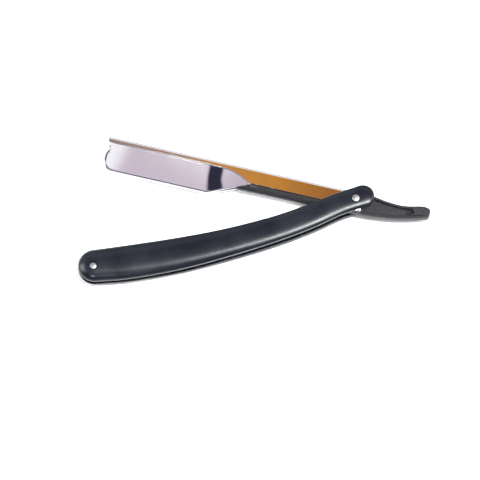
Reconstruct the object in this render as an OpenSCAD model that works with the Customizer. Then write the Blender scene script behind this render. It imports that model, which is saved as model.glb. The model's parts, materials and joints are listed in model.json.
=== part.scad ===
// Folding barber's razor that takes half of a double-edge blade.
// It lies on its lower scale: +X runs from the butt pin to the pivot pin, +Y points to the
// hollow side of the handle, where the blade folds in, and +Z is up. Millimetres.
// The origin is on the flat outer land of the lower scale, at the middle of the handle.

/* [Handle] */
// Distance between the two rivets
pin_span = 132; // [120:1:145]
// Height of both rivets above the handle's middle, across the handle
pin_rise = 5.1; // [4:0.1:6]
// Thickness over both scales
handle_t = 11.4; // [10.6:0.1:12]
// Gap between the scales at the pivot
pivot_gap = 5.6; // [5.5:0.1:6]
// Gap between the scales at the butt
butt_gap = 3; // [2.9:0.1:4]
// Radius of the round butt end
butt_r = 8.1; // [7.8:0.1:8.6]
// Radius of the round pivot end
nose_r = 5.6; // [5.2:0.1:6]
// How far the softened rim of a scale is set in, at the outer face
rim_inset = 1; // [0.4:0.1:1.4]
// Height of the softened rim
rim_h = 1.5; // [0.6:0.1:1.8]

/* [Rivets] */
// Radius of both rivet shafts
rivet_r = 1.25; // [1:0.05:1.5]
// Radius of the pivot rivet's head
pivot_head_r = 1.8; // [1.7:0.05:1.9]
// Radius of the butt rivet's head
butt_head_r = 1.6; // [1.55:0.05:1.7]
// Radius of the sunk seats that hold the heads and burrs
seat_r = 2.05; // [2:0.05:2.3]
// Depth of the sunk seats
seat_depth = 0.8; // [0.7:0.05:1]
// Radial running clearance on the pivot rivet
run_gap = 0.05; // [0.02:0.01:0.08]

/* [Steel cover] */
// Angle between the blade and the line through both rivets
open_angle = 28.8; // [10:0.1:60]
// Thickness of the folded steel
sheet_t = 0.5; // [0.4:0.05:0.6]
// Outer radius of the folded spine
spine_r = 2.3; // [2.2:0.05:2.35]
// Distance from the pivot to the cover's toe, at the spine
toe_s = 124.7; // [117:0.1:127]
// How much shorter the toe is at the open edge
toe_slant = 1.6; // [0.5:0.1:2]
// Distance from the pivot to the cover's short end
short_s = 3.6; // [3:0.1:4]
// Height of the spine's crown above the pivot
spine_top = 4.9; // [4.2:0.1:5.2]
// Depth of the head's open edge below the pivot
head_depth = 12.9; // [12:0.1:13.5]
// Depth of the shank's open edge below the pivot
shank_depth = 3.6; // [3.4:0.1:4]
// Depth of the widened shank beside the pivot
flare_depth = 5.8; // [5:0.1:6]
// Outer half thickness of the head's flanks
flank_half = 1.25; // [1.2:0.05:1.3]

/* [Arm and seat plate] */
// Thickness of the arm inside the cover
web_t = 3.5; // [3.3:0.05:3.55]
// Thickness of the arm's rail and tail
rail_t = 4.6; // [4.2:0.1:4.7]
// Depth of the tail's grip panel
panel_depth = 0.45; // [0.3:0.05:0.6]
// Thickness of the blade's seat plate
plate_t = 0.8; // [0.6:0.05:0.9]
// How far the seat plate's tongue stands out at the toe
tongue = 1.1; // [0.8:0.1:1.5]

/* [Hidden] */
$fn = 48;
eps = 0.01;
mid_z = handle_t / 2;
butt_x = -pin_span / 2;
pivot_x = pin_span / 2;

// Middle line of the handle as [x, y, half width], butt to pivot
handle_line = [
    [butt_x + 1, pin_rise + 0.8, butt_r], [-48, 3.25, 8.5], [-24, 0.9, 8.05], [0, 0.05, 7.05],
    [24, 0.55, 6.3], [42, 2.25, 5.9], [57, 4.55, nose_r - 0.1], [pivot_x + 3.6, 5.45, nose_r]
];
line_steps = 5;
cap_steps = 14;
// Steps of the softened rim, as shares of its height and of its inset, from the outer face
rim_steps = [[0, 1], [0.35, 0.45], [0.7, 0.15]];

// Parallel stretches of the scales' inner faces, round the two rivets
pivot_flat_x = 30;
butt_flat_x = -60;

washer_t = (pivot_gap - 2 * spine_r) / 2 - 0.05;
washer_r = 3.6;
clinch_t = 0.18;
clinch_r = 1.6;
clinch_z = 0.12;
head_rim_t = 0.45;
dimple_r = 0.5;
spacer_r = 3.4;

// Blade frame: s runs from the pivot to the toe, n from the spine to the edge
spine_n = spine_r - spine_top;
joggle_n = -1.5;
flare_s = 2;
flare_end_s = 9;
crescent_s = 53.5;
plateau_half = 1.95;
plateau_end_s = 66.5;
ramp_half = 1.6;
ramp_end_s = 69.5;
heel_s = 71.7;
toe_corner_r = 4;
toe_low_s = toe_s - toe_slant;
toe_low_n = 3.5;

// Outline of the steel's heel below the shank, as [s, n]
heel_edge = [[51.4, shank_depth], [58.4, 7], [63.4, 9.35], [heel_s - 2.4, 11.9], [heel_s, head_depth]];

shoulder_r = 7.1;
web_top = -0.9;
eye_r = 2.3;
eye_t = 2.4;
web_end_s = 52;
fork_s = 34;
plate_top = -0.3;
plate_low = 10.8;
plate_neck_low = 3.6;
tongue_n = 5.9;
tongue_r = 7.5;
seat_rivet_r = 0.9;
seat_rivet_s = [38, 48];
seat_rivet_n = 1.4;
stud_r = 1.1;
stud_h = 0.25;
stud_s = [82, 111];
stud_n = 3.6;

// Tail and rail outlines, as [s, n]
tail_top = [[-6.2, -3.4], [-9.2, -3.7], [-15.4, -2.8], [-21.5, -2.5], [-27.3, -3.3], [-33, -4.5], [-35.2, -4.2]];
tail_end = [[-36.6, -2.3], [-36.1, -0.1]];
tail_low = [[-34.7, 0.9], [-33, 1.5], [-28.8, 2.75], [-23, 4.15], [-17.3, 5.2], [-11.5, 5.9], [-5.6, 6.3]];
rail_low = [[0, 6.3], [10, 6.7], [27, 7.0], [45, 7.1], [57, 7.25], [58.6, 7.35]];
rail_shelf = shank_depth + 1.8;
rail_top = [[58.4, 7.3], [53.4, rail_shelf], [flare_end_s, rail_shelf], [0, flare_depth + 0.9]];
panel = [
    [-9.5, -1.6], [-15.4, -0.8], [-21.5, -0.5], [-26, -0.9], [-27.4, 0.2], [-26.6, 2.0],
    [-23, 3.0], [-17.3, 4.0], [-11.5, 4.7], [-9.5, 4.8]
];

// ---- curves ----

function catmull(a, b, c, d, t) =
    b + (c - a) * t / 2 + (2 * a - 5 * b + 4 * c - d) * t * t / 2
    + (3 * b - a - 3 * c + d) * t * t * t / 2;

// Smooth curve through every point of a list
function smooth(p, steps) = let (n = len(p) - 1) [
    for (i = [0:n - 1])
        let (a = i == 0 ? 2 * p[0] - p[1] : p[i - 1], d = i == n - 1 ? 2 * p[n] - p[n - 1] : p[i + 2])
        for (k = [0:steps - 1]) catmull(a, p[i], p[i + 1], d, k / steps),
    p[n]
];

function reversed(p) = [for (i = [len(p) - 1:-1:0]) p[i]];

function heading(p, i) =
    let (a = p[max(i - 1, 0)], b = p[min(i + 1, len(p) - 1)]) atan2(b[1] - a[1], b[0] - a[0]);

function beside(p, i, side, inset) =
    let (h = heading(p, i) + side * 90, r = p[i][2] - inset) [p[i][0] + r * cos(h), p[i][1] + r * sin(h)];

function cap(p, i, from, inset) =
    let (h = heading(p, i) + from, r = p[i][2] - inset)
    [for (k = [1:cap_steps - 1]) [
        p[i][0] + r * cos(h - 180 * k / cap_steps), p[i][1] + r * sin(h - 180 * k / cap_steps)
    ]];

// Outline of a scale, set in by inset
function scale_outline(inset) =
    let (p = smooth(handle_line, line_steps), n = len(p) - 1)
    concat(
        [for (i = [0:n]) beside(p, i, 1, inset)],
        cap(p, n, 90, inset),
        [for (i = [n:-1:0]) beside(p, i, -1, inset)],
        cap(p, 0, -90, inset)
    );

function arc(c, r, a0, a1, steps) =
    [for (k = [0:steps]) c + r * [cos(a0 + (a1 - a0) * k / steps), sin(a0 + (a1 - a0) * k / steps)]];

// ---- frames ----

// Puts its children in the blade frame: x is s, y is n
module in_blade_frame() {
    translate([pivot_x, pin_rise, 0]) rotate([0, 0, 180 - open_angle]) children();
}

// A slab of the given outline, centred on the middle plane
module slab(outline, t) {
    translate([0, 0, mid_z - t / 2]) linear_extrude(t) polygon(outline);
}

// Sweeps a cross-section in (n, height over the middle plane) along s
module along_blade(s0, s1) {
    translate([s0, 0, mid_z]) rotate([90, 0, 90]) linear_extrude(s1 - s0) children();
}

module mirrored_in_thickness() {
    children();
    translate([0, 0, 2 * mid_z]) mirror([0, 0, 1]) children();
}

module pin_hole(x, r) {
    translate([x, pin_rise, -1]) cylinder(r = r, h = handle_t + 2);
}

// ---- handle ----

// Solid that fills the space between the scales
module gap_space() {
    reach = pin_span;
    low_half = butt_gap / 2;
    high_half = pivot_gap / 2;
    translate([0, reach / 2, mid_z]) rotate([90, 0, 0]) linear_extrude(reach) polygon([
        [-reach, -low_half], [butt_flat_x, -low_half], [pivot_flat_x, -high_half], [reach, -high_half],
        [reach, high_half], [pivot_flat_x, high_half], [butt_flat_x, low_half], [-reach, low_half]
    ]);
}

module scale_body() {
    translate([0, 0, rim_h]) linear_extrude(mid_z - rim_h) polygon(scale_outline(0));
    for (step = rim_steps) translate([0, 0, rim_h * step[0]])
        linear_extrude(rim_h * (1 - step[0]) + eps) polygon(scale_outline(rim_inset * step[1]));
}

module handle_scale() {
    difference() {
        scale_body();
        gap_space();
        translate([-pin_span, -pin_span, mid_z - eps]) cube(2 * pin_span);
        for (x = [butt_x, pivot_x]) {
            pin_hole(x, rivet_r);
            translate([x, pin_rise, -1]) cylinder(r = seat_r, h = seat_depth + 1);
        }
    }
}

module lower_scale() {
    color("#17181c") handle_scale();
}

module upper_scale() {
    color("#1c1d21") translate([0, 0, handle_t]) mirror([0, 0, 1]) handle_scale();
}

module butt_spacer() {
    color("#2a2b2f") translate([butt_x, pin_rise, mid_z - butt_gap / 2]) difference() {
        cylinder(r = spacer_r, h = butt_gap);
        translate([0, 0, -1]) cylinder(r = rivet_r, h = butt_gap + 2);
    }
}

// Rivet with a slightly domed head on top and a clinched end below
module rivet(x, head_r) {
    head_z = handle_t - seat_depth;
    dome_h = 0.35;
    dome_r = (head_r * head_r + dome_h * dome_h) / (2 * dome_h);
    translate([x, pin_rise, 0]) {
        translate([0, 0, clinch_z]) cylinder(r = clinch_r, h = clinch_t);
        translate([0, 0, clinch_z]) cylinder(r = rivet_r, h = head_z - clinch_z + eps);
        translate([0, 0, head_z]) cylinder(r = head_r, h = head_rim_t);
        intersection() {
            translate([0, 0, head_z + head_rim_t + dome_h - dome_r]) sphere(r = dome_r);
            translate([0, 0, head_z + head_rim_t - eps]) cylinder(r = head_r, h = dome_h + 1);
        }
    }
}

module pivot_rivet() {
    color("#cfc7c4") rivet(pivot_x, pivot_head_r);
}

module butt_rivet() {
    color("#cfc7c4") difference() {
        rivet(butt_x, butt_head_r);
        translate([butt_x, pin_rise, handle_t - 0.35]) cylinder(r = dimple_r, h = 1);
    }
}

module burr(x) {
    translate([x, pin_rise, clinch_z + clinch_t]) difference() {
        cylinder(r = seat_r - 0.15, h = seat_depth - clinch_z - clinch_t);
        translate([0, 0, -1]) cylinder(r = rivet_r, h = 3);
    }
}

module pivot_burr() {
    color("#b9b4b2") burr(pivot_x);
}

module butt_burr() {
    color("#b9b4b2") burr(butt_x);
}

module pivot_washer(z) {
    translate([pivot_x, pin_rise, z]) difference() {
        cylinder(r = washer_r, h = washer_t);
        translate([0, 0, -1]) cylinder(r = rivet_r + run_gap, h = washer_t + 2);
    }
}

module lower_pivot_washer() {
    color("#c8a45a") pivot_washer(mid_z - pivot_gap / 2);
}

module upper_pivot_washer() {
    color("#c8a45a") pivot_washer(mid_z + pivot_gap / 2 - washer_t);
}

// ---- arm ----

module arm_rail_and_tail() {
    outline = concat(
        smooth(tail_top, 4), tail_end, smooth(concat(tail_low, rail_low), 3), rail_top
    );
    difference() {
        slab(outline, rail_t);
        translate([0, 0, -1]) cylinder(r = shoulder_r, h = handle_t + 2);
        mirrored_in_thickness()
            translate([0, 0, mid_z + rail_t / 2 - panel_depth]) linear_extrude(1) polygon(panel);
    }
}

module arm_web() {
    slab(concat(
        [[-8.6, 5.6]], [for (q = smooth(rail_low, 3)) if (q[0] < web_end_s) q],
        [[web_end_s, 7.2], [web_end_s, web_top], [0, web_top], [-4.2, 0.1], [-8.6, 0.1]]
    ), web_t);
    translate([0, 0, mid_z - eye_t / 2]) cylinder(r = eye_r, h = eye_t);
}

module blade_arm() {
    color("#33343a") in_blade_frame() difference() {
        union() {
            arm_rail_and_tail();
            arm_web();
        }
        translate([0, 0, -1]) cylinder(r = rivet_r + run_gap, h = handle_t + 2);
        translate([fork_s, -5, mid_z - plate_t / 2]) cube([60, plate_neck_low + 5, plate_t]);
        for (s = seat_rivet_s) translate([s, seat_rivet_n, -1]) cylinder(r = seat_rivet_r, h = handle_t + 2);
    }
}

// Flat steel that carries the blade inside the head and shows as a tongue at the toe
module seat_plate() {
    outline = concat(
        [[fork_s, plate_neck_low], [fork_s, plate_top], [toe_low_s - 1.5, plate_top]],
        arc([toe_low_s + tongue - tongue_r, tongue_n], tongue_r, -32, 36, 12),
        [[toe_low_s - 3, plate_low], [73, plate_low], [67.5, 9.2], [61.5, 5.4], [57, plate_neck_low]]
    );
    color("#c3c4c8") in_blade_frame() {
        difference() {
            slab(outline, plate_t);
            for (s = seat_rivet_s) translate([s, seat_rivet_n, -1]) cylinder(r = seat_rivet_r, h = handle_t + 2);
        }
        for (s = stud_s) translate([s, stud_n, mid_z + plate_t / 2 - eps]) cylinder(r = stud_r, h = stud_h + eps);
    }
}

module seat_rivets() {
    color("#b0b1b5") in_blade_frame() for (s = seat_rivet_s)
        translate([s, seat_rivet_n, mid_z - web_t / 2]) cylinder(r = seat_rivet_r, h = web_t);
}

// ---- steel cover ----

// Section of the folded sheet: round crown, then straight walls down to depth n
module channel_section(depth) {
    difference() {
        channel_outline(spine_r, depth);
        channel_outline(spine_r - sheet_t, depth + 1);
    }
}

module channel_outline(r, depth) {
    intersection() {
        translate([spine_n, 0]) circle(r);
        translate([spine_n - 2 * r, -r]) square(2 * r);
    }
    translate([spine_n, -r]) square([depth - spine_n, 2 * r]);
}

// Crown with the sheet folded in under it, down to the flanks
module head_crown_section() {
    channel_section(joggle_n);
    for (side = [-1, 1]) translate([joggle_n - eps, side < 0 ? -spine_r : flank_half - sheet_t])
        square([sheet_t + eps, spine_r - flank_half + sheet_t]);
}

// Both walls of the given outline, whose outer faces are half away from the middle plane
module walls(outline, half) {
    mirrored_in_thickness() translate([0, 0, mid_z + half - sheet_t]) linear_extrude(sheet_t) polygon(outline);
}

// Flare of the shank's walls beside the pivot
flare_outline = [
    [-short_s, shank_depth - 1], [-short_s, flare_depth], [flare_s, flare_depth],
    [flare_end_s, shank_depth], [flare_end_s, shank_depth - 1]
];
// The part of the heel that lies between two distances from the pivot
function heel_part(s0, s1) =
    let (e = smooth(heel_edge, 4), low = [for (q = e) if (q[0] > s0 && q[0] < s1) q])
    concat([[s0, joggle_n]], [[s0, lookup(s0, e)]], low, [[s1, lookup(s1, e)], [s1, joggle_n]]);
flank_outline = concat(
    [[ramp_end_s - 0.4, joggle_n], [ramp_end_s - 0.4, lookup(ramp_end_s - 0.4, smooth(heel_edge, 4))]],
    [for (q = smooth(heel_edge, 4)) if (q[0] > ramp_end_s - 0.3) q],
    arc([toe_low_s - toe_corner_r, head_depth - toe_corner_r], toe_corner_r, 90, 0, 8),
    [[toe_low_s, toe_low_n], [toe_s, joggle_n]]
);

// Space past the slanted toe
module toe_cut() {
    translate([0, 0, -1]) linear_extrude(handle_t + 2) polygon([
        [toe_s, -spine_top - 1], [toe_low_s, toe_low_n], [toe_low_s, head_depth + 1],
        [toe_s + 1, head_depth + 1], [toe_s + 1, -spine_top - 1]
    ]);
}

module steel_cover() {
    color("#c9c3cb") in_blade_frame() difference() {
        union() {
            along_blade(-short_s, crescent_s + 1) channel_section(shank_depth);
            along_blade(crescent_s, toe_s) head_crown_section();
            walls(flare_outline, spine_r);
            walls(heel_part(crescent_s - 0.5, plateau_end_s), plateau_half);
            walls(heel_part(plateau_end_s - 0.4, ramp_end_s), ramp_half);
            walls(flank_outline, flank_half);
        }
        translate([0, 0, -1]) cylinder(r = rivet_r + run_gap, h = handle_t + 2);
        toe_cut();
    }
}

upper_scale();
lower_scale();
butt_spacer();
pivot_rivet();
pivot_burr();
butt_rivet();
butt_burr();
upper_pivot_washer();
lower_pivot_washer();
blade_arm();
seat_plate();
seat_rivets();
steel_cover();
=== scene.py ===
"""Looks of the folding barber's razor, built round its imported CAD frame.

Shapes are worked out in millimetres and scaled to metres as each mesh is made. The blade frame
of the arm and the cover has s from the pivot to the toe and n from the spine to the open edge.
"""

import json
import math

import bmesh
import bpy
from mathutils import Matrix, Vector


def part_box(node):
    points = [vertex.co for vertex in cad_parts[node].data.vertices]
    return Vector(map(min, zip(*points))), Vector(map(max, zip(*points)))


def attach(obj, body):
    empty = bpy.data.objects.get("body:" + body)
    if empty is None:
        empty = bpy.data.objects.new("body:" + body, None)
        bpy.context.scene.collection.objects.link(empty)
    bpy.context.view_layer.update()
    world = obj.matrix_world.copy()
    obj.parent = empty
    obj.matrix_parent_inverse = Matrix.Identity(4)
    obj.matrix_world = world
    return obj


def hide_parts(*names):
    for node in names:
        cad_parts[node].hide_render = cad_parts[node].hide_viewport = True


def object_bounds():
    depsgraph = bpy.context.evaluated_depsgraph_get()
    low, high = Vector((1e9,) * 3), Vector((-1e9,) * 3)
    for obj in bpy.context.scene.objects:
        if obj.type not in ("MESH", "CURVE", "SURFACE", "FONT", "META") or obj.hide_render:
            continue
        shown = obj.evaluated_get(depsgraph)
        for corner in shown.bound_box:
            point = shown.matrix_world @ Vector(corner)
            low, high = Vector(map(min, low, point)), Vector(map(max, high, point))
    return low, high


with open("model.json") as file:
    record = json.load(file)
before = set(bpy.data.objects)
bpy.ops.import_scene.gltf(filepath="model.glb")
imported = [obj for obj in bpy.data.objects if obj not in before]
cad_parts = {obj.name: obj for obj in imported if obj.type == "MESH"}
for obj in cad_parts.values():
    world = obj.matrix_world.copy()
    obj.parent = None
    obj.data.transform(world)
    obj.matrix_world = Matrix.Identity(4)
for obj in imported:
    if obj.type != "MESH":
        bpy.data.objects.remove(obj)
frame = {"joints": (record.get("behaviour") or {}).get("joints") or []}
cad_low, cad_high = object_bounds()

MM = 0.001


# ---- places and sizes from the frame ----

def node_box(node):
    low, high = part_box(node)
    return low / MM, high / MM


def joint_place(name):
    joint = next(j for j in frame["joints"] if j["name"] == name)
    return Vector(joint["pos_m"]) / MM


def node_middle(node):
    low, high = node_box(node)
    return (low + high) / 2


PIVOT = joint_place("blade_pivot")
BUTT = node_middle("butt_rivet")
MID_Z = PIVOT.z
TOP_Z = node_box("upper_scale")[1].z
PIVOT_GAP = 2 * (node_box("upper_pivot_washer")[1].z - MID_Z)
BUTT_GAP = node_box("butt_spacer")[1].z - node_box("butt_spacer")[0].z
SPINE_R = node_box("steel_cover")[1].z - MID_Z
SHEET = 0.5
BORE_R = 1.3
OPEN_ANGLE = 28.8
BLADE_FRAME = Matrix.Translation((PIVOT.x, PIVOT.y, MID_Z)) @ Matrix.Rotation(
    math.radians(180 - OPEN_ANGLE), 4, "Z"
)


# ---- curves ----

def catmull(a, b, c, d, t):
    """Point of a smooth curve between b and c."""
    return [
        q + (r - p) * t / 2 + (2 * p - 5 * q + 4 * r - u) * t * t / 2 + (3 * q - p - 3 * r + u) * t**3 / 2
        for p, q, r, u in zip(a, b, c, d)
    ]


def smooth(points, steps):
    """Smooth curve through every point of a list."""
    first = [2 * p - q for p, q in zip(points[0], points[1])]
    last = [2 * p - q for p, q in zip(points[-1], points[-2])]
    held = [first, *points, last]
    curve = [
        catmull(*held[i:i + 4], k / steps)
        for i in range(len(points) - 1)
        for k in range(steps)
    ]
    return curve + [list(points[-1])]


def lookup(x, curve):
    """Second value of a curve where its first is x. The curve's first values rise."""
    if x <= curve[0][0]:
        return curve[0][1]
    for p, q in zip(curve, curve[1:]):
        if x <= q[0]:
            return p[1] + (q[1] - p[1]) * (x - p[0]) / (q[0] - p[0])
    return curve[-1][1]


def ease(low, high, x):
    """0 below low, 1 above high, and a smooth rise between."""
    t = min(1, max(0, (x - low) / (high - low)))
    return t * t * (3 - 2 * t)


def incline(soft, t):
    """Straight rise from 0 at t = 0 to 1 at t = 1, with rounded ends that take up a share soft each."""
    t = min(1, max(0, t))
    if t > 0.5:
        return 1 - incline(soft, 1 - t)
    if t < soft:
        return t * t / (2 * soft * (1 - soft))
    return (t - soft / 2) / (1 - soft)


def spread(low, high, step):
    """Even values from low to high, no further apart than step."""
    count = max(1, math.ceil((high - low) / step - 1e-6))
    return [low + (high - low) * k / count for k in range(count + 1)]


def distance_to_path(p, path):
    """Distance from a point to the nearest stretch of a path."""
    best = 1e9
    for a, b in zip(path, path[1:]):
        ax, ay, bx, by = a[0], a[1], b[0] - a[0], b[1] - a[1]
        t = ((p[0] - ax) * bx + (p[1] - ay) * by) / (bx * bx + by * by)
        t = min(1, max(0, t))
        best = min(best, math.hypot(p[0] - ax - t * bx, p[1] - ay - t * by))
    return best


# ---- meshes ----

def skin(rings):
    """Vertices and faces of a tube through closed rings of equal length."""
    count = len(rings[0])
    verts = [p for ring in rings for p in ring]
    faces = [
        (i * count + k, i * count + (k + 1) % count, (i + 1) * count + (k + 1) % count, (i + 1) * count + k)
        for i in range(len(rings) - 1)
        for k in range(count)
    ]
    return verts, faces


def capped(sections):
    """Tube through closed sections, filled at both ends by strips between a section's two halves."""
    verts, faces = skin(sections)
    count = len(sections[0])
    for start in (0, (len(sections) - 1) * count):
        for k in range(count // 2 - 1):
            faces.append((start + k, start + k + 1, start + count - 2 - k, start + count - 1 - k))
    return verts, faces


def mesh_object(name, verts, faces, place=None):
    """Object whose mesh is welded, closed and turned outwards."""
    mesh = bpy.data.meshes.new(name)
    mesh.from_pydata([tuple(v) for v in verts], [], faces)
    work = bmesh.new()
    work.from_mesh(mesh)
    bmesh.ops.remove_doubles(work, verts=work.verts, dist=1e-4)
    bmesh.ops.dissolve_degenerate(work, edges=work.edges, dist=1e-5)
    bmesh.ops.recalc_face_normals(work, faces=work.faces)
    work.to_mesh(mesh)
    work.free()
    if place:
        mesh.transform(place)
    mesh.transform(Matrix.Scale(MM, 4))
    thing = bpy.data.objects.new(name, mesh)
    bpy.context.collection.objects.link(thing)
    return thing


def with_modifier(thing, kind, **settings):
    """Applies one modifier to an object's mesh."""
    modifier = thing.modifiers.new(kind.lower(), kind)
    for key, value in settings.items():
        setattr(modifier, key, value)
    graph = bpy.context.evaluated_depsgraph_get()
    done = bpy.data.meshes.new_from_object(thing.evaluated_get(graph))
    thing.modifiers.clear()
    old = thing.data
    thing.data = done
    bpy.data.meshes.remove(old)
    return thing


def boolean(thing, other, operation):
    """Joins or cuts an object with another one, which is used up."""
    with_modifier(thing, "BOOLEAN", object=other, operation=operation, solver="EXACT")
    mesh = other.data
    bpy.data.objects.remove(other)
    bpy.data.meshes.remove(mesh)
    return thing


def softened(thing, width, segments=2, angle=40):
    """Rounds an object's sharp edges by width millimetres."""
    return with_modifier(
        thing, "BEVEL", width=width * MM, segments=segments, limit_method="ANGLE",
        angle_limit=math.radians(angle), harden_normals=False,
    )


def piece(thing, material, slot, body, *nodes, crease=35):
    """Gives an object its name, material and body, and the CAD nodes that it stands for."""
    mesh = thing.data
    mesh.name = thing.name
    mesh.materials.clear()
    mesh.materials.append(material)
    mesh.shade_smooth()
    mesh.set_sharp_from_angle(angle=math.radians(crease))
    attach(thing, body)
    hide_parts(*nodes)
    return thing


def turned(name, x, y, profile, sides=64):
    """Body of revolution about an upright axis through x, y. The profile is (radius, z) points."""
    angles = [2 * math.pi * k / sides for k in range(sides)]
    rings = [[(x + r * math.cos(a), y + r * math.sin(a), z) for a in angles] for r, z in profile]
    closed = profile[0][0] > 0
    return mesh_object(name, *skin(rings + rings[:1] if closed else rings))


def drum(name, radius, z0, z1):
    """Plain cylinder about the pivot's axis."""
    return turned(name, PIVOT.x, PIVOT.y, [(0, z0), (radius, z0), (radius, z1), (0, z1)])


def slab(name, outline, z0, z1, place=None):
    """Flat plate of the given outline between two heights."""
    count = len(outline)
    verts = [(*p, z0) for p in outline] + [(*p, z1) for p in outline]
    sides = [(k, (k + 1) % count, count + (k + 1) % count, count + k) for k in range(count)]
    caps = [tuple(range(count)), tuple(range(count, 2 * count))]
    return mesh_object(name, verts, sides + caps, place)


# ---- shader building ----

class Shader:
    """A material under construction: each method adds a node and returns its output."""

    def __init__(self, name, colour, metallic=0.0, roughness=0.4):
        self.material = bpy.data.materials.new(name)
        self.material.use_nodes = True
        self.tree = self.material.node_tree
        self.surface = self.tree.nodes["Principled BSDF"]
        self.surface.inputs["Base Color"].default_value = (*colour, 1)
        self.surface.inputs["Metallic"].default_value = metallic
        self.surface.inputs["Roughness"].default_value = roughness
        self.coordinates = self.tree.nodes.new("ShaderNodeTexCoord").outputs["Object"]

    def node(self, kind, inputs=(), **settings):
        made = self.tree.nodes.new(kind)
        for key, value in settings.items():
            setattr(made, key, value)
        for key, value in dict(inputs).items():
            if isinstance(value, bpy.types.NodeSocket):
                self.tree.links.new(value, made.inputs[key])
            else:
                made.inputs[key].default_value = value
        return made

    def stretched(self, angle, along, across):
        """Object coordinates turned about Z, with their own frequency along and across."""
        turn = self.node(
            "ShaderNodeMapping", {"Vector": self.coordinates, "Rotation": (0, 0, math.radians(angle))}
        )
        size = self.node(
            "ShaderNodeMapping", {"Vector": turn.outputs["Vector"], "Scale": (along, across, across)}
        )
        return size.outputs["Vector"]

    def noise(self, scale, detail=3.0, vector=None):
        made = self.node(
            "ShaderNodeTexNoise",
            {"Vector": vector or self.coordinates, "Scale": scale, "Detail": detail},
        )
        return made.outputs["Fac"]

    def cells(self, scale):
        made = self.node("ShaderNodeTexVoronoi", {"Vector": self.coordinates, "Scale": scale})
        return made.outputs["Distance"]

    def range(self, value, low, high, to_low, to_high):
        made = self.node(
            "ShaderNodeMapRange",
            {"Value": value, "From Min": low, "From Max": high, "To Min": to_low, "To Max": to_high},
            interpolation_type="SMOOTHSTEP",
        )
        return made.outputs["Result"]

    def sum(self, first, second, operation="ADD"):
        return self.node("ShaderNodeMath", {0: first, 1: second}, operation=operation).outputs["Value"]

    def tint(self, share, colour_a, colour_b):
        made = self.node(
            "ShaderNodeMix", {0: share, 6: (*colour_a, 1), 7: (*colour_b, 1)}, data_type="RGBA"
        )
        return made.outputs[2]

    def link(self, value, socket):
        self.tree.links.new(value, self.surface.inputs[socket])

    def bump(self, *layers):
        """Relief from (height, strength, depth in millimetres) layers, one on another."""
        normal = None
        for height, strength, depth in layers:
            inputs = {"Height": height, "Strength": strength, "Distance": depth * MM}
            if normal:
                inputs["Normal"] = normal
            normal = self.node("ShaderNodeBump", inputs).outputs["Normal"]
        self.link(normal, "Normal")


def scale_plastic():
    """Black moulded plastic of the handle: satin gloss, faint flow marks, fine rubbing."""
    s = Shader("black_scale_plastic", (0.009, 0.01, 0.013), roughness=0.25)
    cloud = s.noise(60, 4)
    rub = s.noise(1.0, 2, vector=s.stretched(-8, 120, 2600))
    grain = s.noise(2600, 2)
    clouded = s.range(cloud, 0.35, 0.7, 0, 1)
    s.link(s.tint(clouded, (0.004, 0.005, 0.009), (0.007, 0.009, 0.014)), "Base Color")
    rough = s.sum(s.range(cloud, 0.3, 0.75, 0.22, 0.28), s.range(rub, 0.55, 0.8, 0.0, 0.03))
    s.link(rough, "Roughness")
    s.surface.inputs["IOR"].default_value = 1.35
    s.bump((cloud, 0.06, 0.2), (grain, 0.1, 0.02), (rub, 0.02, 0.02))
    return s.material


def arm_plastic():
    """Matt black plastic of the arm and tail, with a moulded grain."""
    s = Shader("black_arm_plastic", (0.016, 0.017, 0.021), roughness=0.45)
    cloud = s.noise(1100, 5)
    grain = s.cells(2600)
    fine = s.noise(4200, 3)
    s.link(s.tint(s.range(cloud, 0.3, 0.75, 0, 1), (0.003, 0.003, 0.005), (0.017, 0.016, 0.02)), "Base Color")
    s.surface.inputs["IOR"].default_value = 1.34
    s.link(s.sum(s.range(grain, 0.1, 0.6, 0.28, 0.42), s.range(cloud, 0.35, 0.7, 0.0, 0.1)), "Roughness")
    s.bump((grain, 0.5, 0.12), (fine, 0.35, 0.06))
    return s.material


def polished_steel():
    """Mirror-polished stainless sheet with faint lengthwise polishing lines and handling haze."""
    s = Shader("polished_steel", (0.86, 0.85, 0.86), metallic=1.0, roughness=0.06)
    lines = s.noise(1.0, 3, vector=s.stretched(OPEN_ANGLE, 40, 5200))
    haze = s.noise(45, 3)
    wave = s.noise(22, 1)
    s.link(s.sum(s.range(haze, 0.4, 0.75, 0.03, 0.07), s.range(lines, 0.5, 0.8, 0.0, 0.03)), "Roughness")
    s.link(s.tint(s.range(haze, 0.35, 0.7, 0, 1), (0.87, 0.86, 0.87), (0.81, 0.80, 0.82)), "Base Color")
    s.bump((wave, 0.03, 0.2), (lines, 0.03, 0.01))
    return s.material


def plate_steel():
    """Bright rolled strip of the seat plate, with fine lengthwise drawing lines."""
    s = Shader("plate_steel", (0.72, 0.72, 0.74), metallic=1.0, roughness=0.22)
    lines = s.noise(1.0, 3, vector=s.stretched(OPEN_ANGLE, 60, 4200))
    spots = s.noise(300, 3)
    s.link(s.range(lines, 0.3, 0.75, 0.16, 0.3), "Roughness")
    s.link(s.tint(s.range(spots, 0.4, 0.75, 0, 1), (0.74, 0.74, 0.76), (0.62, 0.62, 0.64)), "Base Color")
    s.bump((lines, 0.12, 0.02), (spots, 0.05, 0.05))
    return s.material


def rivet_metal():
    """Tumbled light metal of the rivets, with small dents and a dull film."""
    s = Shader("rivet_metal", (0.6, 0.58, 0.57), metallic=1.0, roughness=0.36)
    dents = s.cells(1500)
    film = s.noise(700, 3)
    s.link(s.range(film, 0.3, 0.75, 0.3, 0.46), "Roughness")
    s.link(s.tint(s.range(film, 0.35, 0.7, 0, 1), (0.4, 0.38, 0.37), (0.24, 0.225, 0.22)), "Base Color")
    s.bump((dents, 0.15, 0.05), (film, 0.1, 0.03))
    return s.material


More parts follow.
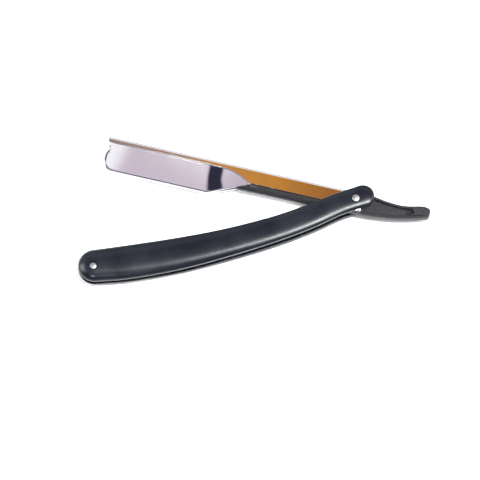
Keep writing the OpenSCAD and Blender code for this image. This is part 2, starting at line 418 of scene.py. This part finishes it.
def washer_brass():
    """Rolled brass of the pivot washers, with a ring-worn, slightly tarnished face."""
    s = Shader("washer_brass", (0.75, 0.57, 0.28), metallic=1.0, roughness=0.35)
    tarnish = s.noise(900, 3)
    s.link(s.tint(s.range(tarnish, 0.35, 0.7, 0, 1), (0.78, 0.6, 0.3), (0.5, 0.36, 0.18)), "Base Color")
    s.link(s.range(tarnish, 0.3, 0.7, 0.28, 0.5), "Roughness")
    s.bump((tarnish, 0.2, 0.03))
    return s.material


def spacer_plastic():
    """Plain black plastic of the butt spacer."""
    s = Shader("spacer_plastic", (0.02, 0.02, 0.022), roughness=0.5)
    grain = s.noise(1600, 3)
    s.link(s.range(grain, 0.3, 0.7, 0.42, 0.6), "Roughness")
    s.link(s.tint(grain, (0.015, 0.015, 0.017), (0.035, 0.035, 0.038)), "Base Color")
    s.bump((grain, 0.25, 0.04))
    return s.material


# ---- handle ----

# Middle line of the handle as x, y and half width, butt to pivot
HANDLE_LINE = [
    (BUTT.x + 1, BUTT.y + 0.8, 8.1), (-48, 3.25, 8.5), (-24, 0.9, 8.05), (0, 0.05, 7.05),
    (24, 0.55, 6.3), (42, 2.25, 5.9), (57, 4.55, 5.5), (PIVOT.x + 3.6, PIVOT.y + 0.35, 5.6),
]
LINE_STEPS = 12
CAP_STEPS = 32
DOME_STEPS = 18
PIVOT_FLAT_X = 30
BUTT_FLAT_X = -60
DOME_SIDE = 2.5
DOME_TOP = 2.0
# Height of a scale's upright side along the handle, as (x, height). The dome takes up the rest.
UPPER_WALL = [(-66, 0.8), (-24, 1.2), (0, 1.5), (40, 1.6)]
LOWER_WALL = [(-66, 0.3), (-45, 0.4), (-24, 0.75), (0, 1.5), (18, 2.0), (40, 2.1)]
INNER_EDGE = 0.2
SEAT_R = 2.05
SEAT_DEPTH = 0.8


def half_gap(x):
    """Half the space between the scales at x."""
    return lookup(x, [(BUTT_FLAT_X, BUTT_GAP / 2), (PIVOT_FLAT_X, PIVOT_GAP / 2)])


def scale_ring(line, share):
    """Outline of a scale shrunk towards its middle line, as x, y points."""
    last = len(line) - 1
    heading = [
        math.atan2(
            line[min(i + 1, last)][1] - line[max(i - 1, 0)][1],
            line[min(i + 1, last)][0] - line[max(i - 1, 0)][0],
        )
        for i in range(last + 1)
    ]

    def beside(i, angle):
        x, y, half = line[i]
        way = heading[i] + angle
        return (x + share * half * math.cos(way), y + share * half * math.sin(way))

    turn = [math.pi * k / CAP_STEPS for k in range(1, CAP_STEPS)]
    return (
        [beside(i, math.pi / 2) for i in range(last + 1)]
        + [beside(last, math.pi / 2 - a) for a in turn]
        + [beside(i, -math.pi / 2) for i in range(last, -1, -1)]
        + [beside(0, -math.pi / 2 - a) for a in turn]
    )


def handle_scale(name, side):
    """One scale: flat inside, domed outside, with a sunk seat at each rivet. side is 1 for the upper."""
    line = smooth(HANDLE_LINE, LINE_STEPS)
    wall = UPPER_WALL if side > 0 else LOWER_WALL
    outer = TOP_Z / 2
    rings = []
    for share, lift in [(0, 0), (0.5, 0), (0.9, 0), (0.965, 0), (0.99, 0.25), (1, 1)]:
        ring = scale_ring(line, share)
        rings.append([(x, y, MID_Z + side * (half_gap(x) + lift * INNER_EDGE)) for x, y in ring])
    for k in range(DOME_STEPS + 1):
        angle = math.pi / 2 * k / DOME_STEPS
        ring = scale_ring(line, math.cos(angle) ** (2 / DOME_SIDE))
        drop = 1 - math.sin(angle) ** (2 / DOME_TOP)
        rings.append([
            (x, y, MID_Z + side * (outer - drop * (outer - half_gap(x) - lookup(x, wall)))) for x, y in ring
        ])
    body = mesh_object(name, *skin(rings))
    for pin in (BUTT, PIVOT):
        floor = outer - SEAT_DEPTH
        seat = [
            (0, floor), (SEAT_R - 0.15, floor), (SEAT_R, floor + 0.15), (SEAT_R, outer - 0.22),
            (SEAT_R + 0.22, outer + 0.02), (SEAT_R + 0.3, outer + 1), (0, outer + 1),
        ]
        cutter = turned("seat_cutter", pin.x, pin.y, [(r, MID_Z + side * z) for r, z in seat])
        boolean(body, cutter, "DIFFERENCE")
    return body


def pin_profile(head_r, dimple_r):
    """Radius and height of a rivet's skin: clinched end, shaft, slightly domed head."""
    floor = TOP_Z - SEAT_DEPTH
    rim = floor + 0.45
    dome = [
        (head_r * math.sin(a), rim + 0.34 * math.cos(a))
        for a in (math.radians(90 * k / 12) for k in range(12, -1, -1))
    ]
    if dimple_r:
        dome = [p for p in dome if p[0] > dimple_r + 0.12]
        lip = dome[-1][1] + 0.03
        dome += [(dimple_r + 0.1, lip), (dimple_r, lip - 0.12), (dimple_r * 0.7, lip - 0.3), (0, lip - 0.36)]
    clinch = [(0, 0.14), (1.2, 0.12), (1.5, 0.17), (1.6, 0.24), (1.52, 0.3)]
    shaft = [(1.25, 0.3), (1.25, floor), (head_r - 0.06, floor), (head_r, floor + 0.07)]
    return clinch + shaft + dome


def ring_profile(inner, outer, z0, z1, edge):
    """Section of a flat ring with broken edges."""
    return [
        (inner, z0), (outer - edge, z0), (outer, z0 + edge),
        (outer, z1 - edge), (outer - edge, z1), (inner, z1),
    ]


def build_handle():
    plastic, metal, brass = scale_plastic(), rivet_metal(), washer_brass()
    piece(handle_scale("upper_scale_shell", 1), plastic, "scale_plastic", "handle", "upper_scale")
    piece(handle_scale("lower_scale_shell", -1), plastic, "scale_plastic", "handle", "lower_scale")
    for name, pin, head_r, dimple_r in (("pivot_rivet", PIVOT, 1.8, 0), ("butt_rivet", BUTT, 1.6, 0.42)):
        thing = turned(name + "_turned", pin.x, pin.y, pin_profile(head_r, dimple_r))
        piece(thing, metal, "rivet_metal", "handle", name)
    for name in ("pivot_burr", "butt_burr", "upper_pivot_washer", "lower_pivot_washer", "butt_spacer"):
        low, high = node_box(name)
        outer = (high.x - low.x) / 2
        middle = (low + high) / 2
        edge = 0.12 if "burr" in name else 0.1
        thing = turned(name + "_turned", middle.x, middle.y, ring_profile(BORE_R, outer, low.z, high.z, edge))
        if "burr" in name:
            piece(thing, metal, "rivet_metal", "handle", name)
        elif "washer" in name:
            piece(thing, brass, "washer_brass", "handle", name)
        else:
            piece(thing, spacer_plastic(), "spacer_plastic", "handle", name)


# ---- steel cover ----

# The sheet reaches from behind the pivot to the toe, whose upper corner stands further out
SHORT_S = 3.6
TOE_S = 123.1
TOE_SLANT = 1.6
TOE_SLANT_N = 3.5
# Depths of the spine's top and middle, and of the open edge along the shank, by the pivot and on the head
SPINE_TOP = -4.9
SPINE_N = SPINE_TOP + SPINE_R
SHANK_N = 3.6
FLARE_N = 5.8
FLARE_SPAN = (2, 9)
HEAD_N = 12.9
HEEL_S = 71.7
HEEL_EDGE = [(51.4, SHANK_N), (52.6, 4.35), (58.4, 7), (63.4, 9.35), (69.3, 11.9), (HEEL_S, HEAD_N)]
# The flank is pressed in below a line that runs straight along the head and curves down at the crescent
JOGGLE_N = -1.4
CRESCENT_S = 69.5
CRESCENT_REACH = 16.8
CRESCENT_DROP = 4.9
CRESCENT_POWER = 2.3
STEP_W = 0.42
ROW_GUARD = 0.05
# How far the plateau and the head are pressed in, the flank's taper, and the ramp between the two
PLATEAU_PRESS = 0.3
HEAD_PRESS = 0.95
FLANK_SLOPE = 0.034
FLANK_BEND = 0.0002
RAMP_START = 65.4
RAMP_END = 74
RAMP_SOFT = 0.4
TOE_LIFT = 0.15
TOE_LIFT_REACH = 12
TOE_CORNER_R = 4
CROWN_STEPS = 20
TOE_SLOT = [(122.4, 1.0), (122.4, 3.3), (122.9, 3.8), (125, 3.8), (125, 0.5), (122.9, 0.5)]


def cover_edge(s):
    """Depth n of the cover's open edge at s."""
    if s < FLARE_SPAN[1]:
        return FLARE_N + (SHANK_N - FLARE_N) * ease(*FLARE_SPAN, s)
    if s < HEEL_S:
        return lookup(s, HEEL_EDGE)
    if s < TOE_S - TOE_CORNER_R:
        return HEAD_N
    past = min(s - TOE_S + TOE_CORNER_R, TOE_CORNER_R)
    return HEAD_N - TOE_CORNER_R + math.sqrt(TOE_CORNER_R**2 - past**2)


def press_line(s):
    """Depth n at which the flank begins to be pressed in, and the line's slope there."""
    if s >= CRESCENT_S:
        return JOGGLE_N, 0.0
    t = (CRESCENT_S - s) / CRESCENT_REACH
    drop = JOGGLE_N + CRESCENT_DROP * t**CRESCENT_POWER
    return drop, CRESCENT_DROP * CRESCENT_POWER / CRESCENT_REACH * t ** (CRESCENT_POWER - 1)


def cover_half(s, n):
    """Half the outer thickness of the cover at s, n."""
    line, slope = press_line(s)
    inside = (n - line) / math.sqrt(1 + slope * slope)
    start = RAMP_START - 0.5 * max(0, n - 5)
    end = RAMP_END - 0.08 * n
    press = PLATEAU_PRESS + (HEAD_PRESS - PLATEAU_PRESS) * incline(RAMP_SOFT, (s - start) / (end - start))
    press -= TOE_LIFT * max(0, 1 - (TOE_S - s) / TOE_LIFT_REACH) ** 2
    deeper = max(0, inside)
    return SPINE_R - ease(0, STEP_W, inside) * (press + FLANK_SLOPE * deeper + FLANK_BEND * deeper**2)


def cover_rows(s):
    """Depths n of the side's rows at s, closer together across the pressed step."""
    low = cover_edge(s)
    line, slope = press_line(s)
    line = min(line, low - 0.6)
    foot = min(line + STEP_W * math.sqrt(1 + slope * slope), low - 0.3)
    above, below = line - ROW_GUARD, foot + ROW_GUARD
    wall = [SPINE_N + (above - SPINE_N) * k / 3 for k in range(1, 4)]
    step = [line + (foot - line) * k / 8 for k in range(9)]
    flank = [below + (low - below) * k / 10 for k in range(11)]
    return wall + step + flank


def cover_section(s):
    """Closed section of the folded sheet at s, as points in the blade frame."""
    rows = cover_rows(s)
    arc = [math.pi * k / CROWN_STEPS for k in range(CROWN_STEPS + 1)]

    def face(inset):
        side = [(n, cover_half(s, n) - inset) for n in rows]
        crown = [(SPINE_N - (SPINE_R - inset) * math.sin(a), (SPINE_R - inset) * math.cos(a)) for a in arc]
        return side[::-1] + crown + [(n, -z) for n, z in side]

    slant = TOE_SLANT * max(0, 1 - (TOE_S - s) / TOE_CORNER_R)

    def place(n, z):
        return (s + slant * max(0, (TOE_SLANT_N - n) / (TOE_SLANT_N - SPINE_TOP)), n, z)

    return [place(n, z) for n, z in face(0) + face(SHEET)[::-1]]


def build_cover():
    stations = (
        spread(-SHORT_S, 12, 0.8) + spread(12, 50, 2)[1:] + spread(50, 74, 0.35)[1:]
        + spread(74, TOE_S - TOE_CORNER_R, 2)[1:]
        + [TOE_S - TOE_CORNER_R + TOE_CORNER_R * math.sin(math.pi / 2 * k / 12) for k in range(1, 13)]
    )
    cover = mesh_object("steel_cover_sheet", *capped([cover_section(s) for s in stations]), BLADE_FRAME)
    boolean(cover, drum("hole_cutter", BORE_R, -1, TOP_Z + 1), "DIFFERENCE")
    slot = slab("slot_cutter", TOE_SLOT, -SPINE_R, SPINE_R, BLADE_FRAME)
    boolean(cover, slot, "DIFFERENCE")
    softened(cover, 0.1, segments=2, angle=70)
    piece(cover, polished_steel(), "polished_steel", "cover", "steel_cover", crease=50)


# ---- arm with tail ----

# Upper and lower outlines of the tail, from its tip to the pivot, and lower outline of the rail, as (s, n)
TAIL_TOP = [
    (-35.0, -4.25), (-33, -4.5), (-30.3, -4.05), (-27.3, -3.3), (-24.2, -2.7), (-21.5, -2.5), (-15.4, -2.8),
    (-9.2, -3.8), (-4, -4.7),
]
TAIL_LOW = [
    (-35.0, 0.8), (-33, 1.5), (-28.8, 2.75), (-23, 4.15), (-17.3, 5.2), (-11.5, 5.9), (-5.6, 6.3), (0, 6.5),
]
TAIL_END = -36.6
RAIL_LOW = [(-8.6, 6.05), (-5.6, 6.3), (0, 6.3), (10, 6.7), (27, 7.0), (45, 7.1), (58.6, 7.35)]
RAIL_T = 4.6
WEB_T = 3.5
SHOULDER_R = 7.1
WEB_END = 52
EYE_R = 2.3
EYE_HALF = 1.2


def tail_limits(s):
    """Top and bottom n of the tail at s, with its rounded end."""
    start = TAIL_TOP[0][0]
    if s >= start:
        return lookup(s, TAIL_TOP_CURVE), lookup(s, TAIL_LOW_CURVE)
    t = (start - s) / (start - TAIL_END)
    top, low = TAIL_TOP[0][1], TAIL_LOW[0][1]
    inset = 1.8 * (1 - math.sqrt(max(0, 1 - t * t)))
    return top + inset, low - inset


TAIL_TOP_CURVE = smooth(TAIL_TOP, 6)
TAIL_LOW_CURVE = smooth(TAIL_LOW, 6)
# Paths of the tail's two grooves, and of the hook that ends the upper one
UPPER_GROOVE = [(s, lookup(s, TAIL_TOP_CURVE) + 1.75) for s in spread(-27.2, -4, 1.0)]
HOOK = [(-27.2, -1.2), (-28.1, -0.9), (-28.5, -0.2), (-28.1, 0.5), (-27.4, 0.8)]
LOWER_GROOVE = [(s, lookup(s, TAIL_LOW_CURVE) - 1.15) for s in spread(-33.5, -4, 1.0)]
GROOVE_W = 0.5
GROOVE_DEPTH = 1.1
PANEL_DEPTH = 0.55
NOTCH = (-17.2, 4.35)


def tail_relief(s, n):
    """How deep the tail's side is recessed at s, n."""
    top, low = tail_limits(s)
    upper = min(distance_to_path((s, n), UPPER_GROOVE), distance_to_path((s, n), HOOK))
    lower = distance_to_path((s, n), LOWER_GROOVE)
    groove = GROOVE_DEPTH * (1 - ease(0.12, GROOVE_W, upper))
    groove = max(groove, 0.5 * (1 - ease(0.1, 0.4, lower)))
    notch = 0.6 * (1 - ease(0.15, 0.5, math.hypot(s - NOTCH[0], n - NOTCH[1])))
    within = ease(1.7, 2.1, n - top) * ease(1.1, 1.5, low - n)
    panel = PANEL_DEPTH * within * ease(-28.6, -24.5, s)
    return max(groove, panel, notch)


def tail_section(s):
    """Closed section of the tail at s: relief on both sides and rounded edges."""
    top, low = tail_limits(s)
    rows = 56
    round_r = 0.55
    side = []
    for k in range(rows + 1):
        n = top + (low - top) * (0.5 - 0.5 * math.cos(math.pi * (0.04 + 0.92 * k / rows)))
        edge = max(0, 1 - min(n - top, low - n) / round_r)
        end = max(0, 1 - (s - TAIL_END) / round_r)
        drop = round_r * (2 - math.sqrt(1 - edge * edge) - math.sqrt(1 - min(1, end) ** 2))
        side.append((n, RAIL_T / 2 - min(drop, 1.2) - tail_relief(s, n)))
    return [(s, n, z) for n, z in side] + [(s, n, -z) for n, z in side[::-1]]


RAIL_SHELF = SHANK_N + 1.8
GROOVE_HALF = 0.9
RAIL_START = (5.5, 7.5)
RAIL_END = 57.6
RAIL_CHAMFER = 0.85


def web_section(s):
    """Closed section of the web and rail at s."""
    low = lookup(s, RAIL_LOW_CURVE)
    half = WEB_T / 2
    thick = ease(*RAIL_START, s)
    wide = half + (RAIL_T / 2 - half) * thick
    narrow = wide - RAIL_CHAMFER * thick
    shelf = min(max(RAIL_SHELF, cover_edge(s) + 0.3), low - 0.2)
    if s > WEB_END:
        top, neck = shelf, half
        shelf = top + 0.08 * (low - top)
    else:
        top, neck = min(-0.9 + max(0, -s) / 4.2, 0.1), half
    room = low - shelf
    deep = neck + (GROOVE_HALF - neck) * thick * (s < WEB_END)
    side = [
        (top, neck), (top + 0.5 * (shelf - top), neck), (top + 0.55 * (shelf - top), deep),
        (shelf - min(0.1, (shelf - top) / 8), deep), (shelf, wide - 0.06),
        (shelf + 0.08 * room, wide), (shelf + 0.45 * room, (wide + narrow) / 2 + 0.06 * thick),
        (low - 0.12 * room, narrow), (low, narrow - 0.3),
    ]
    return [(s, n, z) for n, z in side] + [(s, n, -z) for n, z in side[::-1]]


RAIL_LOW_CURVE = smooth(RAIL_LOW, 6)


def build_arm():
    tail_stations = [
        TAIL_END + 1.4 * (1 - math.cos(math.pi / 2 * k / 10)) for k in range(11)
    ] + spread(TAIL_END + 1.4, -4.2, 0.24)[1:]
    tail = mesh_object("blade_arm_moulding", *capped([tail_section(s) for s in tail_stations]), BLADE_FRAME)
    boolean(tail, drum("shoulder_cutter", SHOULDER_R, -1, TOP_Z + 1), "DIFFERENCE")
    web_stations = (
        [-8.6, -4.2, -2.1, 0, 2] + spread(5, 8, 0.5) + spread(8, WEB_END, 2)[1:]
        + spread(WEB_END + 0.01, RAIL_END, 0.6)
    )
    web = mesh_object("web", *capped([web_section(s) for s in web_stations]), BLADE_FRAME)
    boolean(tail, web, "UNION")
    boolean(tail, drum("eye", EYE_R, MID_Z - EYE_HALF, MID_Z + EYE_HALF), "UNION")
    boolean(tail, drum("hole_cutter", BORE_R, -1, TOP_Z + 1), "DIFFERENCE")
    piece(tail, arm_plastic(), "arm_plastic", "arm", "blade_arm", crease=40)


# ---- seat plate ----

PLATE_T = 0.8
PLATE_START = 34
TONGUE = 1.1
TONGUE_N = 5.9
TONGUE_R = 7.5
STUDS = (82, 111)
STUD_N = 3.6
RIVETS = (38, 48)
RIVET_N = 1.4


def build_seat_plate():
    steel = plate_steel()
    tongue = [
        (TOE_S + TONGUE - TONGUE_R + TONGUE_R * math.cos(a), TONGUE_N + TONGUE_R * math.sin(a))
        for a in (math.radians(-32 + 68 * k / 24) for k in range(25))
    ]
    outline = (
        [(PLATE_START, 3.6), (PLATE_START, -0.3), (TOE_S - 1.5, -0.3)] + tongue
        + [(TOE_S - 3, 10.8), (73, 10.8), (67.5, 9.2), (61.5, 5.4), (57, 3.6)]
    )
    plate = slab("seat_plate_strip", outline, -PLATE_T / 2, PLATE_T / 2, BLADE_FRAME)
    softened(plate, 0.12, segments=3, angle=40)
    for s in STUDS:
        place = BLADE_FRAME @ Vector((s, STUD_N, 0))
        profile = [(0, 0.2), (1.1, 0.2), (1.1, 0.5), (1.0, 0.57), (0.7, 0.6), (0, 0.6)]
        stud = turned("stud", place.x, place.y, [(r, MID_Z + z) for r, z in profile], 40)
        boolean(plate, stud, "UNION")
    piece(plate, steel, "plate_steel", "arm", "seat_plate")
    rivets = []
    for k, s in enumerate(RIVETS):
        place = BLADE_FRAME @ Vector((s, RIVET_N, 0))
        profile = [(0, -1.75), (0.8, -1.75), (0.9, -1.65), (0.9, 1.65), (0.8, 1.75), (0, 1.75)]
        rivet = turned(f"seat_rivet_{k}", place.x, place.y, [(r, MID_Z + z) for r, z in profile], 32)
        rivets.append(rivet)
    pair = boolean(*rivets, "UNION")
    pair.name = "seat_rivets_pair"
    piece(pair, steel, "plate_steel", "arm", "seat_rivets")


# ---- camera, floor and light ----

TILT = math.radians(19)
CHORD_TURN = math.radians(15.3)
CAMERA_FAR = 3.0
FRAME_WIDTH = 0.2325
AIM = Vector((0.00595, -0.00112, TOP_Z * MM))

RIGHT = Vector((math.cos(CHORD_TURN), -math.sin(CHORD_TURN), 0))
FAR = Vector((math.sin(CHORD_TURN), math.cos(CHORD_TURN), 0))
UP = Vector((0, 0, 1))
ALONG_BLADE = Vector((math.cos(math.radians(OPEN_ANGLE)), -math.sin(math.radians(OPEN_ANGLE)), 0))


def build_camera():
    data = bpy.data.cameras.new("camera")
    data.sensor_width = 36
    data.lens = data.sensor_width * CAMERA_FAR / FRAME_WIDTH
    data.clip_start, data.clip_end = 0.05, 20
    camera = bpy.data.objects.new("camera", data)
    bpy.context.collection.objects.link(camera)
    look = FAR * math.sin(TILT) - UP * math.cos(TILT)
    up = FAR * math.cos(TILT) + UP * math.sin(TILT)
    turn = Matrix((RIGHT, up, -look)).transposed().to_4x4()
    camera.matrix_world = Matrix.Translation(AIM - look * CAMERA_FAR) @ turn
    bpy.context.scene.camera = camera


def build_floor():
    floor_z = cad_low.z - 0.0002
    size = 3.0
    corners = [(-size, -size, floor_z), (size, -size, floor_z), (size, size, floor_z), (-size, size, floor_z)]
    mesh = bpy.data.meshes.new("floor")
    mesh.from_pydata(corners, [], [(0, 1, 2, 3)])
    floor = bpy.data.objects.new("floor", mesh)
    bpy.context.collection.objects.link(floor)
    material = bpy.data.materials.new("floor_pale")
    material.use_nodes = True
    surface = material.node_tree.nodes["Principled BSDF"]
    surface.inputs["Base Color"].default_value = (0.92, 0.92, 0.92, 1)
    surface.inputs["Roughness"].default_value = 0.9
    mesh.materials.append(material)


# What the steel mirrors, as (colour, right from, right to, far from, far to, soft edge). The spans are
# the sideways parts of a direction, so (0, 0) is straight up. Later cards lie over earlier ones.
PALE = (1.05, 1.05, 1.07)
DUSK = (0.3, 0.3, 0.34)
HORIZON = (0.62, 0.62, 0.7)
GREY_BLUE = (0.1, 0.12, 0.19)
LAVENDER = (0.69, 0.595, 0.69)
BRIGHT = (1.05, 1.04, 1.08)
SLATE = (0.032, 0.031, 0.055)
BROWN = (0.36, 0.26, 0.22)
AMBER = (0.66, 0.29, 0.05)
DEEP_AMBER = (0.36, 0.14, 0.036)
CARDS = [
    (DUSK, -1.2, 1.2, -1.2, -0.2, 0.15),
    (HORIZON, -1.2, 1.2, 0.75, 1.3, 0.1),
    (GREY_BLUE, -0.5, 0.55, -0.08, 0.56, 0.06),
    (LAVENDER, -0.16, 0.12, 0.08, 0.34, 0.03),
    (SLATE, -0.5, -0.035, 0.1, 0.56, 0.1),
    (AMBER, -0.06, 0.1, 0.285, 0.55, 0.02),
]


def build_world():
    """Soft studio surroundings: pale all round, with the coloured cards overhead that the steel mirrors."""
    world = bpy.data.worlds.new("studio")
    bpy.context.scene.world = world
    world.use_nodes = True
    nodes, links = world.node_tree.nodes, world.node_tree.links
    background = nodes["Background"]
    way = nodes.new("ShaderNodeTexCoord").outputs["Generated"]

    def component(axis):
        made = nodes.new("ShaderNodeVectorMath")
        made.operation = "DOT_PRODUCT"
        links.new(way, made.inputs[0])
        made.inputs[1].default_value = axis
        return made.outputs["Value"]

    def share(value, low, high):
        made = nodes.new("ShaderNodeMapRange")
        made.interpolation_type = "SMOOTHSTEP"
        links.new(value, made.inputs["Value"])
        made.inputs["From Min"].default_value = low
        made.inputs["From Max"].default_value = high
        return made.outputs["Result"]

    def product(first, second):
        made = nodes.new("ShaderNodeMath")
        made.operation = "MULTIPLY"
        links.new(first, made.inputs[0])
        links.new(second, made.inputs[1])
        return made.outputs["Value"]

    def mixed(factor, below, above):
        made = nodes.new("ShaderNodeMix")
        made.data_type = "RGBA"
        links.new(factor, made.inputs[0])
        for socket, colour in ((made.inputs[6], below), (made.inputs[7], above)):
            if isinstance(colour, tuple):
                socket.default_value = (*colour, 1)
            else:
                links.new(colour, socket)
        return made.outputs[2]

    far, right, along_blade = component(FAR), component(RIGHT), component(ALONG_BLADE)
    diagonal = component(FAR + 2 * RIGHT)
    amber = mixed(share(along_blade, -0.076, -0.062), AMBER, DEEP_AMBER)
    graded = {
        LAVENDER: mixed(share(diagonal, 0.208, 0.255), LAVENDER, BRIGHT),
        AMBER: mixed(share(along_blade, -0.078, -0.092), amber, BROWN),
    }
    colour = PALE
    for card, right_from, right_to, far_from, far_to, soft in CARDS:
        across = product(share(right, right_from, right_from + soft), share(right, right_to, right_to - soft))
        along = product(share(far, far_from, far_from + soft), share(far, far_to, far_to - soft))
        colour = mixed(product(across, along), colour, graded.get(card, card))
    links.new(colour, background.inputs["Color"])


def area_light(name, at, size, power):
    """Rectangular light that faces the origin."""
    data = bpy.data.lights.new(name, "AREA")
    data.shape = "RECTANGLE"
    data.size, data.size_y = size
    data.energy = power
    light = bpy.data.objects.new(name, data)
    bpy.context.collection.objects.link(light)
    light.location = at
    light.rotation_mode = "QUATERNION"
    light.rotation_quaternion = (-at).to_track_quat("-Z", "Y")


def toward(right_angle, far_angle, distance):
    """Place that far away whose sideways angles from straight up are given in degrees."""
    way = RIGHT * math.tan(math.radians(right_angle)) + FAR * math.tan(math.radians(far_angle)) + UP
    return way.normalized() * distance


def build_lights():
    """Softboxes: two that the handle's shoulder and the arm's rail mirror, and one at each side."""
    area_light("shoulder_softbox", toward(20, -3, 1.6), (0.24, 0.7), 42)
    area_light("rail_softbox", toward(-13, -36, 1.7), (0.3, 0.3), 7)
    area_light("left_softbox", toward(-58, 8, 1.8), (0.8, 1.2), 26)
    area_light("right_softbox", toward(62, 10, 1.8), (0.8, 0.8), 13)


build_handle()
build_cover()
build_arm()
build_seat_plate()
build_camera()
build_floor()
build_world()
build_lights()
bpy.context.scene.view_settings.view_transform = "Standard"
